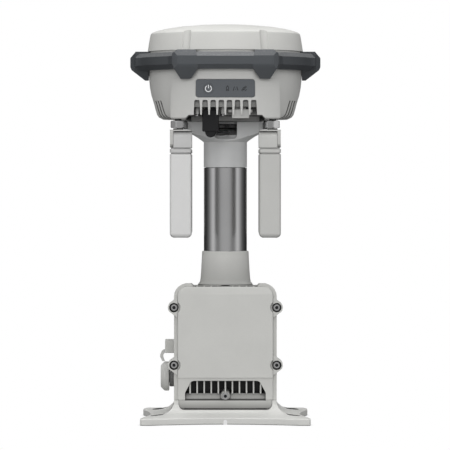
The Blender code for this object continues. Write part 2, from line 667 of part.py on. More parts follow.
# ---------------------------------------------------------------- power box


def screw_ear(x, z, radius):
    """A round ear on the box's edge, blended into the side above and below."""
    side = 1 if x > 0 else -1
    inner = COVER_HALF + GAP - BOX_HALF
    ear = [(inner, -8.6), (0.2, -6.3), (1.8, -5.0)] + arc(radius, -50, 50, 6)
    ear += [(1.8, 5.0), (0.2, 6.3), (inner, 8.6)]
    return [(x + side * u, z + v) for u, v in ear]


def box_section(y, middle, shoulder):
    """The box's outline at depth y: a narrow foot, straight sides and two raised shoulders."""
    foot_half = BOX_HALF - 4.2
    right = arc(4.8, -90, 0, 4, (foot_half - 4.8, BOX_BOTTOM + 4.8)) + [(foot_half, BOX_STEP), (BOX_HALF, BOX_STEP)]
    right += arc(11, 0, 80, 5, (BOX_HALF - 11, shoulder - 11))
    right += [(29.0, shoulder - 0.1), (27.4, middle)]
    return [(u, y, v) for u, v in right + [(-u, v) for u, v in reversed(right)]]


def fin_lanes():
    """The spaces between the cooling fins; the outer ones end below the box's shoulders."""
    lanes = []
    for index in range(6):
        low = FIN_PITCH * index + FIN_THICKNESS / 2
        high = min(FIN_SPAN, low + FIN_PITCH - FIN_THICKNESS)
        top = [(min(high, 27.3), 109), (min(high, 27.3), 125), (low, 125)] if low < 27 else [(low, 106)]
        lane = [(low, 24.8), (high, 24.8), (high, 106)] + top
        lanes += [lane, [(-u, v) for u, v in reversed(lane)]]
    return lanes


def make_power_box():
    housing = loft("power_box", [
        box_section(BOX_FRONT, *BOX_TOPS), box_section(BOX_REAR, *BOX_REAR_TOPS),
    ], "painted_casting")
    spots = [(x, z) for x in SCREW_XS for z in SCREW_HEIGHTS]
    ears = prism("screw_ears", [screw_ear(x, z, 5.2) for x, z in spots], BOX_FRONT - 2.2, -20, "Y")
    anchor = block("strap_anchor", (-51.5, -9.5, 57.8), (-42, 1.5, 69.3), bevel=0.6)
    add(housing, ears, anchor, rod("socket_seat", 23.6, 105, BOX_SEAT, sides=40))

    roll = arc(1.8, 180, 266, 4, (BOX_FRONT + 1.8, BOX_BOTTOM + 1.7))
    roll += [(-31, 5), (-50, 5), (-50, BOX_BOTTOM + 1.7)]
    pocket = [(-45, 19.9), (-45, 24.81), (-29.6, 24.81), (-31.6, 20.9), (-31.6, 19.9)]
    cut(
        housing,
        prism("fin_lanes", fin_lanes(), BOX_FRONT - 5, BOX_CORE, "Y"),
        block("middle_gap", (-FIN_PITCH, BOX_FRONT - 5, 112), (FIN_PITCH, BOX_CORE - 0.02, 130)),
        prism("vent_pocket", [pocket], -FIN_SPAN, FIN_SPAN, "X"),
        prism("roll_under", [roll], -60, 60, "X"),
        block("box_inside", (-38.6, -20, 14.6), (38.6, 26, 111)),
        block("box_opening", (-34, -16, 5), (34, 22, 20)),
        rod("cable_hole", 8.0, 100, 130, sides=24),
        rod("port_hole", 7.5, -50, -35, PORT, "X"),
    )
    boss = turned("vent_boss", [
        (0, 11.0), (6.4, 11.0), (6.0, 7.0), (3.6, 0), (0, 0),
    ], at=(0, BOX_FRONT, VENT_SCREW_Z), steps=24)
    boss.rotation_euler = (math.radians(-90), 0, 0)
    add(housing, boss)
    holes = [arc(1.5, 0, 330, 11, spot) for spot in spots + [(0, VENT_SCREW_Z)]]
    cut(housing, prism("screw_holes", holes, -60, -24.5, "Y"))
    cut(housing, prism("screw_seats", [arc(3.95, 0, 345, 23, spot) for spot in spots], -60, SCREW_SEAT, "Y"))
    posts = [arc(3.0, 0, 330, 11, (x, z)) for x in (-28, 28) for z in (32, 96)]
    add(housing, prism("power_board_posts", posts, 15.9, 27, "Y"))


def make_shroud():
    """The smooth cover over the fins. Its foot is set back and has a wide opening for air."""
    top_edge = [(BOX_FRONT - GAP, COVER_TOP), (COVER_FACE + 1.4, COVER_TOP), (COVER_FACE, COVER_TOP - 7.0)]
    side = top_edge + [(COVER_FACE, 38.4), (COVER_FACE + 0.8, 37.6), (COVER_FACE + 2.3, COVER_BOTTOM)]
    side += [(BOX_FRONT - GAP, COVER_BOTTOM)]
    cover = prism("front_shroud", [side], -COVER_HALF, COVER_HALF, "X", "painted_casting")
    corner = rounded((-COVER_HALF + 0.01, COVER_BOTTOM - 20), (COVER_HALF - 0.01, COVER_TOP - 0.01), 8, 5)
    keep(cover, prism("shroud_outline", [corner], -60, -30, "Y"))
    right = [(FIN_SPAN, 10), (FIN_SPAN, 25.5), (29.9, 33.6), (28.8, 35.0), (26.8, 35.7)]
    vent = right + [(-u, v) for u, v in reversed(right)]
    cut(cover, prism("vent", [vent], -60, -30, "Y"))
    reliefs = [arc(5.5, 0, 345, 23, (x, z)) for x in SCREW_XS for z in SCREW_HEIGHTS]
    cut(cover, prism("ear_reliefs", reliefs, -60, -30, "Y"))


def make_box_screws():
    places = [(f"{level}_{side}", x, z, SCREW_SEAT - GAP) for level, z in zip(("lower", "upper"), SCREW_HEIGHTS)
              for side, x in zip(("left", "right"), SCREW_XS)]
    places.append(("vent", 0, VENT_SCREW_Z, BOX_FRONT - GAP))
    for name, x, z, seat in places:
        screw = turned(f"box_screw_{name}", [
            (0, 8.0), (1.2, 8.0), (1.2, 0), (3.1, 0), (3.1, -1.6), (2.7, -2.1), (1.5, -2.1), (1.5, -0.8), (0, -0.8),
        ], "nickel", at=(x, seat, z), steps=12)
        screw.rotation_euler = (math.radians(-90), 0, 0)


def make_box_inside():
    block("power_board", (-34, 14.0, 24), (34, 15.6, 104), "circuit_board")
    block("transformer", (-16, -7, 48), (14, 13.7, 76), "black_plastic", bevel=1.0)
    block("network_jack", (-36, -12, 30), (-20, 4.5, 45.5), "nickel", bevel=0.5)


def make_network_port():
    y, z = PORT
    neck = rod("port_neck", 9.2, -47.7, -43.8, PORT, "X", "black_plastic", sides=32)
    add(neck, rod("neck_stem", 7.2, -45, -39.8, PORT, "X", sides=32))
    cut(neck, rod("neck_bore", 5.6, -50, -30, PORT, "X", sides=32))
    cap = turned("port_cap", [
        (0, 7.2), (9.2, 7.2), (CAP_RADIUS - 0.6, 4.6), (CAP_RADIUS, 3.6), (CAP_RADIUS, 0.5), (CAP_RADIUS - 0.5, 0),
        (5.2, 0), (5.2, -3.6), (4.6, -4.2), (0, -4.2),
    ], "cap_rubber", at=(-48.0, y, z), steps=32)
    cap.rotation_euler = (0, math.radians(-90), 0)
    outer = [(-51.8, 60.8), (-53.2, 60.4), (-54.7, 58.9)] + arc(3.6, 150, 200, 4, (-52.2, 55.4))
    outer += [(-53.9, 50.7)]
    inner = [(-51.7, 50.7), (-52.8, 53.0), (-53.2, 55.2), (-52.9, 56.5), (-52.4, 57.2), (-51.8, 57.6)]
    prism("cap_strap", [outer + inner], y - 3.0, y + 3.0, "Y", "cap_rubber")


# ---------------------------------------------------------------- cast foot


def foot_plan():
    """Four arms with blunt ends and hollow edges between them, anticlockwise from the right."""
    (corner_x, corner_y), (waist_x, waist_y) = FOOT_CORNER, FOOT_WAIST
    side = [(waist_x + (corner_x - waist_x) * t ** 1.7, 51.0 * t) for t in (0.0, 0.25, 0.5, 0.75, 1.0)]
    side += [(corner_x, corner_x * PLINTH_HALF[1] / PLINTH_HALF[0])]
    end = [(corner_x, corner_y - 1.6), (corner_x - 1.6, corner_y)]
    shares = (1.0, 0.83, 0.66, 0.5, 0.33, 0.16, 0.0)
    front = [(62.0 * t, waist_y + (corner_y - waist_y) * t ** 1.9) for t in shares]
    quarter = side + end + front
    left = [(-u, v) for u, v in reversed(quarter[:-1])]
    rear = quarter + left
    return rear[:-1] + [(-u, -v) for u, v in rear[:-1]]


def make_foot():
    plan = foot_plan()
    plinth = []
    for u, v in plan:
        reach = max(abs(u) / PLINTH_HALF[0], abs(v) / PLINTH_HALF[1])
        plinth.append((u / reach, v / reach))
    sections = [[(u * 0.994, v * 0.994, 0) for u, v in plan], [(u, v, 0.5) for u, v in plan]]
    for share, height in FOOT_RISE:
        sections.append([
            (u + (pu - u) * share, v + (pv - v) * share, height) for (u, v), (pu, pv) in zip(plan, plinth)
        ])
    foot = loft("base_foot", sections, "painted_casting")
    x, y = ARM_HOLE
    cut(foot, mirror(rod("arm_holes", 6.2, -5, 20, (x, y), sides=28), x=True, y=True))
    seat_half = BOX_HALF - 4.2 + GAP
    seat = arc(4.8, -90, 0, 4, (seat_half - 4.8, FOOT_FLOOR + 4.8)) + [(seat_half, 30)]
    seat += [(-u, v) for u, v in reversed(seat)]
    drain = [(1.55, -2), (1.55, 2.6), (1.1, 3.6), (0, 4.1), (-1.1, 3.6), (-1.55, 2.6), (-1.55, -2)]
    cut(
        foot,
        prism("box_seat", [seat], -80, BOX_REAR + GAP, "Y"),
        prism("seal_seat", [rounded((-36.5, -18.5), (36.5, 24.5), 3)], FOOT_FLOOR - 0.7, 20),
        prism("drain", [drain], -80, 80, "Y"),
    )
    outline = rounded((-36.2, -18.2), (36.2, 24.2), 3)
    seal = prism("foot_seal", [outline], FOOT_FLOOR - 0.5, BOX_BOTTOM - 0.2, "Z", "seal_rubber")
    cut(seal, block("seal_window", (-34.4, -16.4, 5), (34.4, 22.4, 20)))


# ---------------------------------------------------------------- the whole


def main():
    global parts, cutters
    clear_scene()
    parts = collection("gnss_base_station")
    cutters = collection("cutters")
    make_materials()
    make_radome()
    make_guard()
    make_lower_housing()
    make_panel()
    make_electronics()
    make_ports()
    for corner, side, face in (
        ("front_left", -1, -1), ("front_right", 1, -1), ("rear_left", -1, 1), ("rear_right", 1, 1),
    ):
        make_antenna(corner, side * ANTENNA_XS[face], face * ANTENNA_Y, side * face * ROD_OFFSET)
    make_mount()
    make_pole()
    make_cable()
    make_power_box()
    make_shroud()
    make_box_screws()
    make_box_inside()
    make_network_port()
    make_foot()


main()
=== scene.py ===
import json
import math

import bmesh
import bpy
from mathutils import Matrix, Vector


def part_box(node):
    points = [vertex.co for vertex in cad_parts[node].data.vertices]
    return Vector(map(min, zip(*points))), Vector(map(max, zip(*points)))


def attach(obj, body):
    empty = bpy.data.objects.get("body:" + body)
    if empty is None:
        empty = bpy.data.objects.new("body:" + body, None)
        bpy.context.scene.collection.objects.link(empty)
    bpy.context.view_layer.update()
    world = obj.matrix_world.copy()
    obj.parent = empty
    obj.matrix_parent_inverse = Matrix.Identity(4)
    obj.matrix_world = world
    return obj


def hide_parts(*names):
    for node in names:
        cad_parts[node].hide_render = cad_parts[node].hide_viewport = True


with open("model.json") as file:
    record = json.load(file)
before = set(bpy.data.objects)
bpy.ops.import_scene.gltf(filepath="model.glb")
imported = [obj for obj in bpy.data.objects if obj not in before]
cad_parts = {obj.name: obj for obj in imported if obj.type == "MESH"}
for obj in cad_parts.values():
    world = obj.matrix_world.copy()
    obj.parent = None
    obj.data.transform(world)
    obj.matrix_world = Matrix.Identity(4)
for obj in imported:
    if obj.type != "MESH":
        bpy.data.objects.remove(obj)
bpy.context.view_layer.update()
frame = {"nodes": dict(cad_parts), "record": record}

# The finished look of the GNSS base station, over the CAD frame: looks for the CAD nodes, finer versions
# of some small ones, printed marks, and a white studio. Lengths are in metres unless a comment says
# millimetres.

MM = 0.001
CORNERS = ("front_left", "front_right", "rear_left", "rear_right")
NODES = frame["nodes"]
SLOT_OF = {entry["node"]: entry["material_slot"] for entry in frame["record"]["subparts"]}
BODY_OF = {node: body for body, nodes in frame["record"]["behaviour"]["bodies"].items() for node in nodes}

bpy.context.scene.view_settings.view_transform = "Standard"
bpy.context.scene.view_settings.look = "None"


# ---------------------------------------------------------------- materials


# The colour sockets of a mix node, which has others for numbers and vectors.
MIX_A = 6
MIX_B = 7
MIX_RESULT = 2


class Shader:
    """A small builder for one node material."""

    def __init__(self, name):
        self.material = bpy.data.materials.new(name)
        self.material.use_nodes = True
        self.tree = self.material.node_tree
        self.bsdf = self.tree.nodes["Principled BSDF"]
        self.coords = self.node("ShaderNodeTexCoord").outputs["Object"]

    def node(self, kind, **settings):
        """A new node of the kind, with its settings."""
        made = self.tree.nodes.new(kind)
        for key, value in settings.items():
            setattr(made, key, value)
        return made

    def set(self, socket, value):
        """Links a socket to the input, or gives it a plain number, vector or colour."""
        if isinstance(value, bpy.types.NodeSocket):
            self.tree.links.new(value, socket)
        elif socket.type == "RGBA" and len(value) == 3:
            socket.default_value = (*value, 1.0)
        else:
            socket.default_value = value

    def noise(self, scale, detail=3.0, roughness=0.55, stretch=None):
        """Noise with about this many swells to the metre, its coordinates multiplied by three factors."""
        vector = self.coords
        if stretch:
            mapping = self.node("ShaderNodeMapping")
            self.set(mapping.inputs["Scale"], stretch)
            self.set(mapping.inputs["Vector"], vector)
            vector = mapping.outputs["Vector"]
        made = self.node("ShaderNodeTexNoise")
        self.set(made.inputs["Vector"], vector)
        self.set(made.inputs["Scale"], scale)
        self.set(made.inputs["Detail"], detail)
        self.set(made.inputs["Roughness"], roughness)
        return made.outputs["Fac"]

    def ramp(self, value, low, high, start=0.0, end=1.0):
        """low where the value is at start, high where it is at end, clamped beyond them."""
        made = self.node("ShaderNodeMapRange", clamp=True)
        for key, number in (("From Min", start), ("From Max", end), ("To Min", low), ("To Max", high)):
            self.set(made.inputs[key], number)
        self.set(made.inputs["Value"], value)
        return made.outputs["Result"]

    def rise(self, value, start, end):
        """0 where the value is at start, 1 where it is at end."""
        return self.ramp(value, 0.0, 1.0, start, end)

    def fall(self, value, start, end):
        """1 where the value is at start, 0 where it is at end."""
        return self.ramp(value, 1.0, 0.0, start, end)

    def mix(self, factor, a, b):
        """Colour a at factor 0, colour b at factor 1."""
        made = self.node("ShaderNodeMix", data_type="RGBA")
        self.set(made.inputs[0], factor)
        self.set(made.inputs[MIX_A], a)
        self.set(made.inputs[MIX_B], b)
        return made.outputs[MIX_RESULT]

    def times(self, a, b):
        """The product of two numbers or sockets."""
        made = self.node("ShaderNodeMath", operation="MULTIPLY")
        self.set(made.inputs[0], a)
        self.set(made.inputs[1], b)
        return made.outputs[0]

    def bump(self, height, strength, distance, normal=None):
        """A normal tilted by the height, on top of another bump if one is given."""
        made = self.node("ShaderNodeBump")
        self.set(made.inputs["Strength"], strength)
        self.set(made.inputs["Distance"], distance)
        self.set(made.inputs["Height"], height)
        if normal:
            self.set(made.inputs["Normal"], normal)
        return made.outputs["Normal"]

    def edges(self, radius):
        """1 on edges and corners, 0 on flat faces, from how far a rounded normal leaves the true one."""
        soft = self.node("ShaderNodeBevel", samples=4)
        self.set(soft.inputs["Radius"], radius)
        hard = self.node("ShaderNodeNewGeometry")
        dot = self.node("ShaderNodeVectorMath", operation="DOT_PRODUCT")
        self.set(dot.inputs[0], soft.outputs["Normal"])
        self.set(dot.inputs[1], hard.outputs["Normal"])
        return self.fall(dot.outputs["Value"], 0.75, 0.995)

    def along(self, axis):
        """The distance along X, Y or Z, in metres; |X|, |Y| or |Z| for its size only."""
        split = self.node("ShaderNodeSeparateXYZ")
        self.set(split.inputs[0], self.coords)
        if axis.startswith("|"):
            away = self.node("ShaderNodeMath", operation="ABSOLUTE")
            self.set(away.inputs[0], split.outputs[axis[1]])
            return away.outputs[0]
        return split.outputs[axis]

    def within(self, axis, low, high, edge=0.0002):
        """1 between two distances along an axis, 0 beyond them by the edge or more."""
        value = self.along(axis)
        past_low = self.rise(value, low - edge, low)
        before_high = self.fall(value, high, high + edge)
        return self.times(past_low, before_high)

    def near(self, axes, spot, radius, edge=0.00005):
        """1 within the radius of the spot and its mirror images, seen along the third axis."""
        flat = self.node("ShaderNodeCombineXYZ")
        for axis, value in zip("XY", axes):
            self.set(flat.inputs[axis], self.along(f"|{value}|"))
        gap = self.node("ShaderNodeVectorMath", operation="DISTANCE")
        self.set(gap.inputs[0], flat.outputs[0])
        self.set(gap.inputs[1], (*spot, 0.0))
        return self.fall(gap.outputs["Value"], radius, radius + edge)

    def facing_up(self):
        """1 on level faces that look up, 0 on upright ones, below 0 on those that look down."""
        hard = self.node("ShaderNodeNewGeometry")
        split = self.node("ShaderNodeSeparateXYZ")
        self.set(split.inputs[0], hard.outputs["Normal"])
        return split.outputs["Z"]

    def openness(self, distance, samples=8):
        """1 in the open, falling in crevices narrower than the distance."""
        made = self.node("ShaderNodeAmbientOcclusion", samples=samples)
        self.set(made.inputs["Distance"], distance)
        return made.outputs["AO"]


def shade(colour, factor, lift=0.0):
    """The colour times the factor, plus the lift."""
    return tuple(min(1.0, c * factor + lift) for c in colour)


BLACK = (0, 0, 0)
# The grey of the dusting and painted sheen laid on top faces.
DUST_AND_SHEEN = (0.5, 0.5, 0.5)
BARE_METAL = (0.75, 0.75, 0.75)
# How dark the painted shade in round wells is, and the share of the painted crevice shade left outside its
# limits.
WELL_SHADE = 0.92
CREVICES_ELSEWHERE = 0.2


def darken(s, base, share):
    """The base colour with this share of it, a socket or a number, taken away."""
    return s.mix(share, base, BLACK)


def crevices(s, base, colour, crevice, within=None):
    """Painted shade: the base colour going to a share of the colour in narrow places."""
    reach, start, darkest, share = crevice
    depth = s.rise(s.openness(reach), start, darkest)
    if within:
        depth = s.times(depth, s.ramp(s.within(*within), CREVICES_ELSEWHERE, 1.0))
    return s.mix(depth, base, shade(colour, share))


def moulded(
    name, colour, roughness=0.5, grain=0.02, wear=0.12, crevice=None, specular=0.45, fade=None, dust_and_sheen=0.0,
    within=None, patches=(), wells=(), rim=0.0,
):
    """Moulded or painted surface: fine grain, faint mottling, brighter worn edges and painted shade in
    crevices.

    grain is how deep the fine bumps are. wear, the sheen share and rim are shares: wear brightens edges, the
    sheen share lays dusting and a painted sheen on top faces, and rim lays painted shade on surfaces seen
    edge on.
    crevice is (reach in metres, openness where it starts, openness where it is darkest, darkest share).
    within is (axis, low, high), where the painted crevice shade is at full strength; elsewhere it is much
    fainter.
    fade is (one height, the share of the colour there, another height, the share there).
    patches are (share of the colour, (axis, low, high), ...), painted shade: darker areas that lie within all
    their limits.
    wells are (axes, spot, radius, axis, low, high), the insides of round holes, painted nearly black as
    painted shade.
    """
    s = Shader(name)
    mottle = s.noise(28.0, detail=4.0)
    fine = s.noise(900.0, detail=2.0, roughness=0.6)
    patchy = s.noise(160.0, detail=4.0)
    base = s.mix(s.rise(mottle, 0.3, 0.7), shade(colour, 0.965), shade(colour, 1.025))
    base = s.mix(s.ramp(fine, 0.0, 0.18, 0.35, 0.75), base, shade(colour, 0.86))
    worn = s.times(s.edges(0.0006), s.rise(patchy, 0.35, 0.7))
    base = s.mix(s.times(worn, wear), base, shade(colour, 1.35, 0.05))
    if fade:
        low, low_share, high, high_share = fade
        base = s.mix(s.ramp(s.along("Z"), low_share, high_share, low, high), BLACK, base)
    # Dusting and a painted sheen on faces that look up.
    if dust_and_sheen:
        lying = s.times(s.rise(s.facing_up(), 0.25, 0.7), s.ramp(fine, 0.45, 1.0, 0.35, 0.65))
        base = s.mix(s.times(lying, dust_and_sheen), base, DUST_AND_SHEEN)
    # Painted shade in crevices.
    if crevice:
        base = crevices(s, base, colour, crevice, within)
    # Painted shade on surfaces seen edge on.
    if rim:
        edge_on = s.rise(s.node("ShaderNodeLayerWeight").outputs["Facing"], 0.25, 0.85)
        base = darken(s, base, s.times(edge_on, rim))
    # Painted shade in the given areas.
    for share, *limits in patches:
        area = 1.0 - share
        for limit in limits:
            area = s.times(s.within(*limit), area)
        base = darken(s, base, area)
    # Painted shade inside round holes.
    for axes, spot, radius, *limit in wells:
        area = s.times(s.near(axes, spot, radius), s.within(*limit))
        base = darken(s, base, s.times(area, WELL_SHADE))
    s.set(s.bsdf.inputs["Base Color"], base)
    s.set(s.bsdf.inputs["Roughness"], s.ramp(mottle, roughness - 0.05, roughness + 0.06, 0.3, 0.7))
    s.set(s.bsdf.inputs["Specular IOR Level"], specular)
    s.set(s.bsdf.inputs["Normal"], s.bump(fine, 0.35, grain * MM * 3, s.bump(mottle, 0.05, 0.0004)))
    return s.material


def metal(
    name, colour, roughness=0.3, brush=(6.0, 6.0, 6.0), brushed=0.06, wear=0.0, metallic=1.0, crevice=None,
):
    """Plated, blasted or anodised metal, its fine lines stretched by the brush factors.

    brushed is how far the lines change the roughness either way, and wear is how bright the edges are.
    crevice is as for a moulded surface: painted shade in narrow places.
    """
    s = Shader(name)
    lines = s.noise(60.0, detail=5.0, roughness=0.7, stretch=brush)
    cloud = s.noise(22.0)
    base = s.mix(s.rise(cloud, 0.3, 0.7), shade(colour, 0.95), shade(colour, 1.04))
    worn = s.times(s.edges(0.0005), s.ramp(cloud, 0.2, 1.0, 0.3, 0.7))
    base = s.mix(s.times(worn, wear), base, BARE_METAL)
    # Painted shade in crevices.
    if crevice:
        base = crevices(s, base, colour, crevice)
    s.set(s.bsdf.inputs["Base Color"], base)
    s.set(s.bsdf.inputs["Metallic"], metallic)
    s.set(s.bsdf.inputs["Roughness"], s.ramp(lines, roughness - brushed, roughness + brushed, 0.25, 0.75))
    s.set(s.bsdf.inputs["Normal"], s.bump(lines, 0.15, 0.00003))
    return s.material


# Painted shade: darker areas where shade falls in slits, grooves, openings and recesses and by the foot; the
# share of the colour left in them, then their limits. |X| and |Y| are distances from the middle plane, to
# either side.
SLIT_SIDES = ((0.02705, 0.02895), (0.02225, 0.02435), (0.0161, 0.0187))
# Painted shade inside the housing's side slits.
SLITS = tuple(
    (0.22, ("|Y|", near, far), ("|X|", 0.0455, 0.09), ("Z", 0.25, 0.27275)) for near, far in SLIT_SIDES
)
# Painted shade in the rods' ring grooves.
RING_GROOVES = ((0.7, ("Z", 0.2275, 0.22845)), (0.7, ("Z", 0.2318, 0.2329)))
# Painted shade on the guard ring's sides.
GUARD_SIDE_SHADE = (0.72, ("|X|", 0.05, 0.09, 0.012))
# Painted shade on the knuckles under the nuts, nearly black.
SHADE_UNDER_NUT = (0.06, ("Z", 0.24808, 0.27))
# Painted shade in the box's top opening, on the cover's step and bottom edge, in the lanes behind the cover
# and low on the box by the foot.
BOX_OPENING = (0.14, ("X", -0.0274, 0.0274), ("Y", -0.0336, -0.0234), ("Z", 0.105, 0.130))
COVER_STEP = (0.72, ("X", -0.0342, 0.0342), ("Y", -0.0333, -0.020), ("Z", 0.0203, 0.0252))
COVER_EDGE = (0.12, ("X", -0.0343, 0.0343), ("Y", -0.0350, -0.020), ("Z", 0.0190, 0.0201))
BEHIND_COVER = (0.10, ("X", -0.0346, 0.0346), ("Y", -0.0260, -0.020), ("Z", 0.0252, 0.0500))
BOX_FOOT = (0.48, ("Y", -0.0400, -0.020), ("Z", 0.0050, 0.0125, 0.007))

# Round wells, painted nearly black as painted shade: the axes and the spot of their middles, which repeat
# mirrored, their radius and their depth.
BOX_SCREW_WELLS = tuple(
    (("X", "Z"), (0.0435, height), 0.00398, "Y", -0.040, -0.0328) for height in (0.0489, 0.0977)
)
FOOT_HOLES = ((("X", "Y"), (0.0575, 0.038), 0.00622, "Z", -0.001, 0.02),)

# Painted shade in the rods' narrow gaps.
ROD_CREVICE = (0.0012, 0.5, 0.1, 0.6)

# One finish for each CAD material, and others for single nodes: colour, roughness, then grain or brush lines.
LOOKS = {
    # The housing: painted shade in crevices, fainter high up under the guard ring, and in the side slits.
    "shell_plastic": moulded(
        "shell_plastic_look", (0.525, 0.525, 0.51), 0.55, 0.02, crevice=(0.012, 0.62, 0.22, 0.10),
        within=("Z", 0.2, 0.2765), patches=SLITS,
    ),
    # Painted shade in the radome's crevices.
    "radome": moulded("radome_look", (0.55, 0.55, 0.53), 0.5, 0.015, crevice=(0.004, 0.6, 0.2, 0.35)),
    # The guard ring: dusting and a painted sheen on its top faces, painted shade in crevices and on its
    # sides.
    "guard_rubber": moulded(
        "guard_rubber_look", (0.064, 0.070, 0.077), 0.55, 0.04, wear=0.4, crevice=(0.006, 0.5, 0.1, 0.4),
        dust_and_sheen=0.25, patches=(GUARD_SIDE_SHADE,),
    ),
    "panel_film": moulded("panel_film_look", (0.088, 0.096, 0.106), 0.42, 0.008, wear=0.1),
    # The rods: painted shade in narrow gaps, on faces seen edge on and in the ring grooves.
    "rod_plastic": moulded(
        "rod_plastic_look", (0.48, 0.48, 0.465), 0.42, 0.012, crevice=ROD_CREVICE, rim=0.3,
        patches=RING_GROOVES,
    ),
    # A lighter copy of the rod look, painted light for the front left rod; above its upper groove it fades
    # back to the plain rod's colour.
    "rod_painted_light": moulded(
        "rod_painted_light_look", (0.63, 0.63, 0.625), 0.42, 0.012, crevice=ROD_CREVICE, rim=0.3,
        patches=RING_GROOVES, fade=(0.2270, 1.0, 0.2275, 0.77),
    ),
    # The knuckles: like the rod look, with painted shade under the nut.
    "knuckle_plastic": moulded(
        "knuckle_plastic_look", (0.48, 0.48, 0.465), 0.42, 0.012, crevice=ROD_CREVICE, rim=0.3,
        patches=(SHADE_UNDER_NUT,),
    ),
    # Painted shade in crevices.
    "painted_casting": moulded(
        "painted_casting_look", (0.54, 0.54, 0.52), 0.5, 0.03, crevice=(0.003, 0.45, 0.1, 0.5),
    ),
    # The box: painted shade in its fin lanes, screw wells, top opening, behind and under the cover and by the
    # foot.
    "finned_casting": moulded(
        "finned_casting_look", (0.515, 0.515, 0.495), 0.5, 0.03, crevice=(0.010, 0.60, 0.25, 0.03),
        within=("X", -0.0348, 0.0348), wells=BOX_SCREW_WELLS,
        patches=(BOX_OPENING, COVER_STEP, COVER_EDGE, BEHIND_COVER, BOX_FOOT),
    ),
    # The mounting plate: the casting's colour darkened as painted shade under the head, with painted shade in
    # crevices.
    "plate_casting": moulded(
        "plate_casting_look", (0.24, 0.24, 0.235), 0.5, 0.03, crevice=(0.004, 0.6, 0.2, 0.3),
    ),
    # Painted shade in crevices.
    "satin_aluminium": metal(
        "satin_aluminium_look", (0.565, 0.57, 0.57), 0.55, (3.0, 3.0, 3.0), wear=0.3, metallic=0.15,
        crevice=(0.005, 0.6, 0.15, 0.12),
    ),
    "dark_anodised": metal("dark_anodised_look", (0.44, 0.44, 0.442), 0.23, (1.0, 1.0, 0.02), 0.03),
    "nickel": metal("nickel_look", (0.52, 0.52, 0.52), 0.20, brushed=0.05, wear=0.4),
    "screw_steel": metal("screw_steel_look", (0.46, 0.46, 0.46), 0.40, brushed=0.05, wear=0.2),
    "dark_steel": metal("dark_steel_look", (0.10, 0.10, 0.10), 0.3, brushed=0.05, wear=0.5),
    "brass": metal("brass_look", (0.55, 0.42, 0.20), 0.35),
    "black_plastic": moulded("black_plastic_look", (0.016, 0.016, 0.017), 0.5, 0.03, wear=0.25),
    "seal_rubber": moulded("seal_rubber_look", (0.02, 0.02, 0.02), 0.7, 0.03),
    "plug_plastic": moulded(
        "plug_plastic_look", (0.010, 0.010, 0.011), 0.5, 0.03, wear=0.15, specular=0.25,
    ),
    "neck_rubber": moulded("neck_rubber_look", (0.25, 0.25, 0.25), 0.6, 0.03),
    # The foot: painted shade in crevices and inside its holes.
    "foot_casting": moulded(
        "foot_casting_look", (0.61, 0.61, 0.59), 0.5, 0.03, crevice=(0.012, 0.50, 0.25, 0.1),
        wells=FOOT_HOLES,
    ),
    "neck_casting": moulded(
        "neck_casting_look", (0.53, 0.53, 0.51), 0.5, 0.03, fade=(0.117, 0.72, 0.140, 1.0),
    ),
    # Painted shade in crevices.
    "cap_rubber": moulded("cap_rubber_look", (0.50, 0.50, 0.485), 0.6, 0.03, crevice=(0.003, 0.5, 0.15, 0.3)),
    "circuit_board": moulded("circuit_board_look", (0.01, 0.10, 0.045), 0.4),
    "battery_sleeve": moulded("battery_sleeve_look", (0.03, 0.08, 0.22), 0.35),
    "antenna_ceramic": moulded("antenna_ceramic_look", (0.55, 0.50, 0.42), 0.6),
    "clear_plastic": moulded("clear_plastic_look", (0.7, 0.7, 0.7), 0.25),
    "white_print": moulded("white_print_look", (0.86, 0.87, 0.88), 0.45, 0.01),
    "dark_print": moulded("dark_print_look", (0.012, 0.013, 0.015), 0.5, 0.01),
}
# The nodes whose look isn't the one named after their CAD material.
LOOK_OF = {
    "radome": "radome", "power_box": "finned_casting", "mounting_plate": "plate_casting",
    # The front left rod takes the lighter copy of the rod look, painted light.
    "antenna_rod_front_left": "rod_painted_light", "base_foot": "foot_casting", "pole_socket": "neck_casting",
    "usb_plug": "plug_plastic", "mounting_bolt": "dark_steel",
}
# The knuckles take the look with painted shade under their nuts.
LOOK_OF.update({f"knuckle_{corner}": "knuckle_plastic" for corner in CORNERS})


# ---------------------------------------------------------------- the CAD nodes' looks

# How wide the nodes' hard edges are rounded, in millimetres.
BEVELS = {
    "lower_housing": 0.5, "guard_ring": 0.4, "power_box": 0.5, "front_shroud": 0.5, "pole_bracket": 0.4,
    "radome": 0.4, "usb_plug": 0.9, "base_foot": 0.5, "port_cap": 0.4,
}
ROD_BEVEL = 0.08
OTHER_BEVEL = 0.25
WELD_GAP = 0.000002
FLAT_ANGLE = 1.0
EDGE_ANGLE = 28


def soften(obj, width):
    """Rounds the hard edges of a CAD node with modifiers, which leave its own vertices alone."""
    weld = obj.modifiers.new("weld", "WELD")
    weld.merge_threshold = WELD_GAP
    flat = obj.modifiers.new("flat", "DECIMATE")
    flat.decimate_type = "DISSOLVE"
    flat.angle_limit = math.radians(FLAT_ANGLE)
    bevel = obj.modifiers.new("bevel", "BEVEL")
    bevel.width = width * MM
    bevel.segments = 2
    bevel.limit_method = "ANGLE"
    bevel.angle_limit = math.radians(EDGE_ANGLE)
    bevel.use_clamp_overlap = True
    normals = obj.modifiers.new("normals", "WEIGHTED_NORMAL")
    normals.keep_sharp = True
    obj.data.polygons.foreach_set("use_smooth", [True] * len(obj.data.polygons))


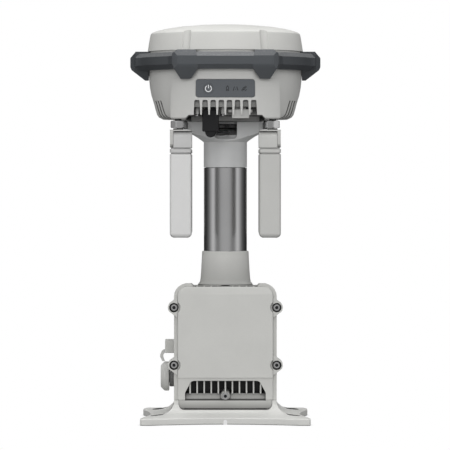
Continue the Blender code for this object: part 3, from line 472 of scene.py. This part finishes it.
def dress(node, obj):
    """Gives a CAD node its look in every material slot, and its rounded edges."""
    look = LOOKS[LOOK_OF.get(node, SLOT_OF[node])]
    if not obj.data.materials:
        obj.data.materials.append(look)
    for index in range(len(obj.data.materials)):
        obj.data.materials[index] = look
    if node.startswith(("knuckle", "antenna_rod")):
        soften(obj, ROD_BEVEL)
    else:
        soften(obj, BEVELS.get(node, OTHER_BEVEL))


for node, obj in NODES.items():
    dress(node, obj)


# ---------------------------------------------------------------- finer pieces


def piece(name, data, looks, node, stands_for=True):
    """Puts a piece on the node's body with the given looks, and has it stand for the node unless told not to.
    """
    obj = bpy.data.objects.new(name, data)
    bpy.context.scene.collection.objects.link(obj)
    for look in looks:
        data.materials.append(LOOKS[look])
    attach(obj, BODY_OF[node])
    if stands_for:
        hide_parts(node)


SHARP_ANGLE = 32


def skin(name, rings, closed=False, turn=None, dark_rings=()):
    """A mesh through rings of points in millimetres; a ring of one point is a tip.

    dark_rings are the rings whose faces, up to the next ring, take the second material.
    """
    bm = bmesh.new()
    made = [[bm.verts.new(Vector(point) * MM) for point in ring] for ring in rings]
    pairs = list(zip(made, made[1:]))
    if closed:
        pairs.append((made[-1], made[0]))
    for index, (first, second) in enumerate(pairs):
        count = max(len(first), len(second))
        for i in range(count):
            j = (i + 1) % count
            if len(first) == 1:
                corners = (first[0], second[i], second[j])
            elif len(second) == 1:
                corners = (first[i], first[j], second[0])
            else:
                corners = (first[i], first[j], second[j], second[i])
            bm.faces.new(corners).material_index = 1 if index in dark_rings else 0
    bmesh.ops.recalc_face_normals(bm, faces=bm.faces)
    if turn:
        bmesh.ops.transform(bm, matrix=turn, verts=bm.verts)
    mesh = bpy.data.meshes.new(name)
    bm.to_mesh(mesh)
    bm.free()
    mesh.polygons.foreach_set("use_smooth", [True] * len(mesh.polygons))
    mesh.set_sharp_from_angle(angle=math.radians(SHARP_ANGLE))
    return mesh


def lathe(name, profile, turn, steps=48, shape=None, closed=False, dark_rings=()):
    """Turns (radius, height) pairs in millimetres; shape(index, angle, radius) may change the radius."""
    rings = []
    for index, (radius, height) in enumerate(profile):
        if radius == 0:
            rings.append([(0, 0, height)])
            continue
        ring = []
        for step in range(steps):
            angle = 2 * math.pi * step / steps
            r = shape(index, angle, radius) if shape else radius
            ring.append((r * math.cos(angle), r * math.sin(angle), height))
        rings.append(ring)
    return skin(name, rings, closed, turn, dark_rings)


def place(x, y, z, axis="Z"):
    """The transform that stands a lathe's axis along the named one, its origin at x, y, z in millimetres."""
    turns = {
        "Z": Matrix.Identity(4),
        "Y": Matrix.Rotation(math.radians(-90), 4, "X"),
        "-X": Matrix.Rotation(math.radians(-90), 4, "Y"),
    }
    return Matrix.Translation(Vector((x, y, z)) * MM) @ turns[axis]


def hexagon(angle, corner, turned=0.0):
    """The radius of a hexagon with the given corner radius at this angle."""
    sixth = math.radians(60)
    return corner * math.cos(sixth / 2) / math.cos((angle - turned) % sixth - sixth / 2)


def extent(node):
    """The middle, the lowest corner and the highest corner of the node's box, in millimetres."""
    low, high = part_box(node)
    return (low + high) / 2 / MM, low / MM, high / MM


# Sizes of the finer pieces, in millimetres; NUT_TURNS are degrees and SOCKET_TURN is in radians.
SOCKET_TURN = 0.3
NUT_CORNER = 6.6
NUT_MOUTH = 3.6
NUT_THREADS = 16
NUT_TURNS = (15, 36.5)
STUB_STEP = 0.35
BOLT_HEAD = 3.8
KNURLS = 48
LEAD_RADIUS = 1.55
LEAD_PATH = (
    (-7.5, -49.5, 244.3), (-3.6, -49.2, 244.4), (-0.2, -46.3, 244.8), (1.6, -41.0, 245.4),
    (2.0, -34.0, 245.7), (2.0, -9.2, 245.7), (2.0, -6.0, 244.0), (1.8, -3.4, 240.5),
    (1.2, -1.5, 233.0), (0, 0, 222.0), (0, 0, 140.0), (0, 0, 100.0),
)


def thread(outer, depth, start, step, count):
    """Points that go from the outer radius in by the depth and back, step by step from the start height."""
    return [(outer - depth * (i % 2), start + step * i) for i in range(count)]


def make_screw(node):
    """A socket-head screw with a domed rim and a hexagonal recess painted black, painted shade in the socket.
    """
    name = f"{node}_fine"
    middle, low, _ = extent(node)
    recess = [(0, 1.5), (1.5, 1.5), (1.5, 0.12), (1.62, 0)]
    rim = [(2.3, 0), (2.75, 0.16), (3.02, 0.5), (3.1, 0.9), (3.1, 2.1)]
    shank = [(1.2, 2.1), (1.2, 8.0), (0, 8.0)]

    def shape(index, angle, radius):
        return hexagon(angle, radius, SOCKET_TURN) if index < len(recess) else radius

    turn = place(middle.x, low.y, middle.z, "Y")
    # The recess's floor and walls take the black print look: painted shade.
    mesh = lathe(name, recess + rim + shank, turn, 48, shape, dark_rings=(0, 1))
    piece(name, mesh, ("screw_steel", "dark_print"), node)


def make_nut(corner):
    """A hexagon nut with turned chamfers above and below and a thread in its bore."""
    node, name = f"coupling_nut_{corner}", f"hex_nut_{corner}"
    middle, low, high = extent(node)
    tall = high.z - low.z
    chamfer = [(5.5, 0), (5.9, 0.12), (6.35, 0.5), (NUT_CORNER, 0.85)]
    outside = chamfer + [(radius, tall - height) for radius, height in reversed(chamfer)]
    bore = thread(3.25, -0.12, tall - 0.3, -(tall - 0.6) / NUT_THREADS, NUT_THREADS + 1)
    profile = [(NUT_MOUTH, 0)] + outside + [(NUT_MOUTH, tall)] + bore
    turned = math.radians(NUT_TURNS[0] if middle.x < 0 else NUT_TURNS[1])

    def shape(index, angle, radius):
        on_outside = 0 < index <= len(outside)
        return min(radius, hexagon(angle, NUT_CORNER, turned)) if on_outside else radius

    mesh = lathe(name, profile, place(middle.x, middle.y, low.z), 72, shape, closed=True)
    piece(name, mesh, ("nickel",), node)


def make_connector(corner):
    """The threaded stub that the nut turns on."""
    node, name = f"connector_{corner}", f"threaded_stub_{corner}"
    middle, low, high = extent(node)
    tall = high.z - low.z
    ridges = thread(3.08, 0.28, 0.5, STUB_STEP, int((tall - 1.0) / STUB_STEP))
    profile = [(0, 0), (2.5, 0)] + ridges + [(3.0, tall - 0.3), (2.8, tall), (0, tall)]
    mesh = lathe(name, profile, place(middle.x, middle.y, low.z), 32)
    piece(name, mesh, ("nickel",), node)


def make_bolt():
    """The knurled thumb bolt seen through the bracket's window."""
    _, low, high = extent("mounting_bolt")
    tall = high.z - low.z
    edge = [(10.8, 0), (11.7, 0.4), (12.5, 0.9)]
    head = edge + [(radius, BOLT_HEAD - height) for radius, height in reversed(edge)]
    shank = thread(7.55, 0.35, BOLT_HEAD + 0.6, 0.5, 34)
    profile = [(0, 0)] + head + [(7.5, BOLT_HEAD)] + shank + [(6.8, tall), (0, tall)]

    def shape(index, angle, radius):
        knurled = 1 < index < len(head)
        return radius - 0.45 * abs(math.sin(angle * KNURLS / 2)) if knurled else radius

    mesh = lathe("knurled_bolt", profile, place(0, 0, low.z), 192, shape)
    piece("knurled_bolt", mesh, ("dark_steel",), "mounting_bolt")


def make_port():
    """The ribbed neck of the network port."""
    middle, _, high = extent("port_neck")
    ribs = thread(9.15, 0.5, 4.2, 0.45, 8)
    profile = [(5.7, 7.85), (5.7, 0.05), (7.1, 0.05), (7.1, 4.0), (8.9, 4.0)] + ribs + [(8.7, 7.85)]
    mesh = lathe("ribbed_neck", profile, place(high.x, middle.y, middle.z, "-X"), 64, closed=True)
    piece("ribbed_neck", mesh, ("neck_rubber",), "port_neck")


def make_cable():
    """The power lead with an even bend, close to the path of its CAD solid."""
    curve = bpy.data.curves.new("power_lead", "CURVE")
    curve.dimensions = "3D"
    curve.bevel_depth = LEAD_RADIUS * MM
    curve.bevel_resolution = 5
    curve.use_fill_caps = True
    spline = curve.splines.new("NURBS")
    spline.points.add(len(LEAD_PATH) - 1)
    for point, spot in zip(spline.points, LEAD_PATH):
        point.co = (*(Vector(spot) * MM), 1.0)
    spline.order_u = 3
    spline.use_endpoint_u = True
    spline.resolution_u = 8
    piece("power_lead", curve, ("black_plastic",), "power_cable")


# How far the printed marks stand out of their surface and reach into it, in millimetres.
PRINT_PROUD = 0.06
PRINT_SUNK = 0.05


def stroke(bm, points, width, face, closed=False):
    """A flat printed line of the given width on the plane y = face, through x, z points in millimetres."""
    points = [Vector(p) for p in points]
    count = len(points)
    sides = []
    for i, point in enumerate(points):
        before = points[i - 1] if closed or i else point
        after = points[(i + 1) % count] if closed or i < count - 1 else point
        along = (after - before).normalized()
        across = Vector((-along.y, along.x)) * width / 2
        one, other = point + across, point - across
        front, back = face - PRINT_PROUD, face + PRINT_SUNK
        section = ((one, front), (other, front), (other, back), (one, back))
        sides.append([bm.verts.new(Vector((p.x, y, p.y)) * MM) for p, y in section])
    spans = list(zip(sides, sides[1:]))
    if closed:
        spans.append((sides[-1], sides[0]))
    for first, second in spans:
        for i in range(4):
            j = (i + 1) % 4
            bm.faces.new((first[i], first[j], second[j], second[i]))
    if not closed:
        bm.faces.new(sides[0])
        bm.faces.new(sides[-1])


def circle(x, z, radius, steps, start=0, end=360):
    """Points of an arc between two angles in degrees; a full circle doesn't repeat its first point."""
    last = steps if end - start == 360 else steps - 1
    spots = [math.radians(start + (end - start) * i / last) for i in range(steps)]
    return [(x + radius * math.cos(a), z + radius * math.sin(a)) for a in spots]


def finish_marks(name, bm, look, node):
    """Turns the strokes into a piece printed on the node."""
    bmesh.ops.recalc_face_normals(bm, faces=bm.faces)
    mesh = bpy.data.meshes.new(name)
    bm.to_mesh(mesh)
    bm.free()
    piece(name, mesh, (look,), node, stands_for=False)


def make_power_symbol():
    """A broken circle and an upright line on the button."""
    middle, low, _ = extent("power_button")
    x, z = middle.x, middle.z
    bm = bmesh.new()
    radius, width = 2.55, 0.62
    stroke(bm, circle(x, z, radius, 40, 122, 418), width, low.y)
    stroke(bm, [(x, z + 0.2), (x, z + 3.1)], width, low.y)
    finish_marks("power_symbol", bm, "white_print", "power_button")


def make_status_marks():
    """Three plain marks on the panel: a small battery, a zigzag and a satellite."""
    z = extent("power_button")[0].z
    face = extent("front_panel")[1].y
    bm = bmesh.new()
    battery = [(0.9, z - 1.9), (2.7, z - 1.9), (2.7, z + 1.5), (0.9, z + 1.5)]
    stroke(bm, battery, 0.6, face, closed=True)
    stroke(bm, [(1.3, z + 2.1), (2.3, z + 2.1)], 0.7, face)
    stroke(bm, [(1.4, z - 1.0), (2.2, z - 1.0)], 0.8, face)
    zigzag = [(6.6, z - 1.7), (7.6, z + 1.7), (8.6, z - 1.2), (9.6, z + 1.7), (10.6, z - 1.7)]
    stroke(bm, zigzag, 0.7, face)
    satellite = 15.6
    for turn in (45, 225):
        angle = math.radians(turn)
        x, up = satellite + 1.9 * math.cos(angle), z + 1.9 * math.sin(angle)
        stroke(bm, circle(x, up, 0.75, 4), 0.55, face, closed=True)
    stroke(bm, circle(satellite, z, 0.8, 16), 0.65, face, closed=True)
    stroke(bm, circle(satellite, z, 2.1, 8, 285, 345), 0.55, face)
    finish_marks("status_marks", bm, "dark_print", "front_panel")


for node in NODES:
    if node.startswith("box_screw_"):
        make_screw(node)
for corner in CORNERS:
    make_nut(corner)
    make_connector(corner)
make_bolt()
make_port()
make_cable()
make_power_symbol()
make_status_marks()


# ---------------------------------------------------------------- studio


# How bright the surroundings are in reflections, from behind the object (0) round to the camera's side (1).
REFLECTED = (
    (0.0, 0.03), (0.24, 0.05), (0.42, 0.20), (0.54, 0.55), (0.66, 1.05), (0.72, 1.0), (0.82, 0.42),
    (0.90, 0.34), (0.965, 0.66), (1.0, 0.70),
)

# How bright they are as light on the paint.
GLOW = 0.72

AIM_X = -0.0003
CAMERA_AT = (AIM_X, -2.8, 0.214)
CAMERA_AIM = (AIM_X, 0, 0.167)
LENS = 261.6
LIGHT_AIM = (0, 0, 0.2)
FLOOR_DROP = 0.0002


def softboxes(new, join):
    """What reflections see: REFLECTED round the sides and white high up."""
    look = new("ShaderNodeSeparateXYZ")
    join(new("ShaderNodeTexCoord").outputs["Generated"], look.inputs[0])
    flat = new("ShaderNodeCombineXYZ")
    join(look.outputs["X"], flat.inputs["X"])
    join(look.outputs["Y"], flat.inputs["Y"])
    unit = new("ShaderNodeVectorMath")
    unit.operation = "NORMALIZE"
    join(flat.outputs[0], unit.inputs[0])
    level = new("ShaderNodeSeparateXYZ")
    join(unit.outputs[0], level.inputs[0])
    span = new("ShaderNodeMapRange")
    span.inputs["From Min"].default_value = 1.0
    span.inputs["From Max"].default_value = -1.0
    join(level.outputs["Y"], span.inputs["Value"])
    ramp = new("ShaderNodeValToRGB")
    elements = ramp.color_ramp.elements
    while len(elements) < len(REFLECTED):
        elements.new(0.5)
    for element, (position, value) in zip(elements, REFLECTED):
        element.position = position
        element.color = (value, value, value, 1)
    join(span.outputs["Result"], ramp.inputs[0])
    high = new("ShaderNodeMapRange")
    high.inputs["From Min"].default_value = 0.35
    high.inputs["From Max"].default_value = 0.8
    join(look.outputs["Z"], high.inputs["Value"])
    over = new("ShaderNodeMix")
    over.data_type = "RGBA"
    join(high.outputs["Result"], over.inputs[0])
    join(ramp.outputs["Color"], over.inputs[MIX_A])
    over.inputs[MIX_B].default_value = (1, 1, 1, 1)
    return over.outputs[MIX_RESULT]


def make_world(scene):
    """White behind the object, an even glow for its paint, and upright softboxes for its metal to reflect."""
    world = bpy.data.worlds.new("studio")
    scene.world = world
    world.use_nodes = True
    tree = world.node_tree
    new, join = tree.nodes.new, tree.links.new

    def background(strength):
        made = new("ShaderNodeBackground")
        made.inputs["Color"].default_value = (1, 1, 1, 1)
        made.inputs["Strength"].default_value = strength
        return made

    white, glow, boxes = background(1.0), background(GLOW), background(1.0)
    join(softboxes(new, join), boxes.inputs["Color"])
    path = new("ShaderNodeLightPath")
    unseen, seen = new("ShaderNodeMixShader"), new("ShaderNodeMixShader")
    join(path.outputs["Is Glossy Ray"], unseen.inputs[0])
    join(glow.outputs[0], unseen.inputs[1])
    join(boxes.outputs[0], unseen.inputs[2])
    join(path.outputs["Is Camera Ray"], seen.inputs[0])
    join(unseen.outputs[0], seen.inputs[1])
    join(white.outputs[0], seen.inputs[2])
    join(seen.outputs[0], tree.nodes["World Output"].inputs["Surface"])


def make_floor(scene):
    """A floor: white to the camera with a soft contact shadow, grey to the paint, unseen in reflections."""
    bm = bmesh.new()
    bmesh.ops.create_grid(bm, x_segments=8, y_segments=8, size=6.0)
    mesh = bpy.data.meshes.new("floor")
    bm.to_mesh(mesh)
    bm.free()
    floor = bpy.data.objects.new("floor", mesh)
    floor.location.z = -FLOOR_DROP
    scene.collection.objects.link(floor)
    s = Shader("floor_paint")
    s.set(s.bsdf.inputs["Base Color"], s.mix(s.noise(3.0), (0.29, 0.29, 0.29), (0.31, 0.31, 0.31)))
    s.set(s.bsdf.inputs["Roughness"], 0.9)
    s.set(s.bsdf.inputs["Specular IOR Level"], 0.0)
    clear_of_foot = s.rise(s.openness(0.03, samples=16), 0.35, 0.75)
    pale = s.node("ShaderNodeEmission")
    s.set(pale.inputs["Color"], s.mix(clear_of_foot, (0.72, 0.72, 0.72), (1, 1, 1)))
    path = s.node("ShaderNodeLightPath")
    mirror = s.node("ShaderNodeMixShader")
    s.set(mirror.inputs[0], path.outputs["Is Glossy Ray"])
    s.set(mirror.inputs[1], s.bsdf.outputs[0])
    s.set(mirror.inputs[2], s.node("ShaderNodeBsdfTransparent").outputs[0])
    view = s.node("ShaderNodeMixShader")
    s.set(view.inputs[0], path.outputs["Is Camera Ray"])
    s.set(view.inputs[1], mirror.outputs[0])
    s.set(view.inputs[2], pale.outputs[0])
    s.set(s.tree.nodes["Material Output"].inputs["Surface"], view.outputs[0])
    mesh.materials.append(s.material)


def aimed(location, target):
    """The rotation that points a lamp or a camera at location towards the target."""
    return (Vector(target) - Vector(location)).to_track_quat("-Z", "Y").to_euler()


def make_light(scene, name, location, size, power):
    """A rectangular lamp aimed at the object, left out of reflections."""
    light = bpy.data.lights.new(name, "AREA")
    light.shape = "RECTANGLE"
    light.size, light.size_y = size
    light.energy = power
    obj = bpy.data.objects.new(name, light)
    obj.location = location
    obj.rotation_euler = aimed(location, LIGHT_AIM)
    obj.visible_glossy = False
    scene.collection.objects.link(obj)


def make_camera(scene):
    """A long lens from just above the object's middle."""
    camera = bpy.data.cameras.new("camera")
    camera.lens = LENS
    camera.sensor_width = 36.0
    view = bpy.data.objects.new("camera", camera)
    view.location = CAMERA_AT
    view.rotation_euler = aimed(CAMERA_AT, CAMERA_AIM)
    scene.collection.objects.link(view)
    scene.camera = view


def make_studio(scene):
    """The surroundings, the floor, two lamps and the camera."""
    make_world(scene)
    make_floor(scene)
    make_light(scene, "front", (-0.1, -2.3, 0.75), (1.8, 1.0), 22.0)
    make_light(scene, "top", (0, -0.2, 1.6), (1.2, 1.0), 12.0)
    make_camera(scene)


make_studio(bpy.context.scene)
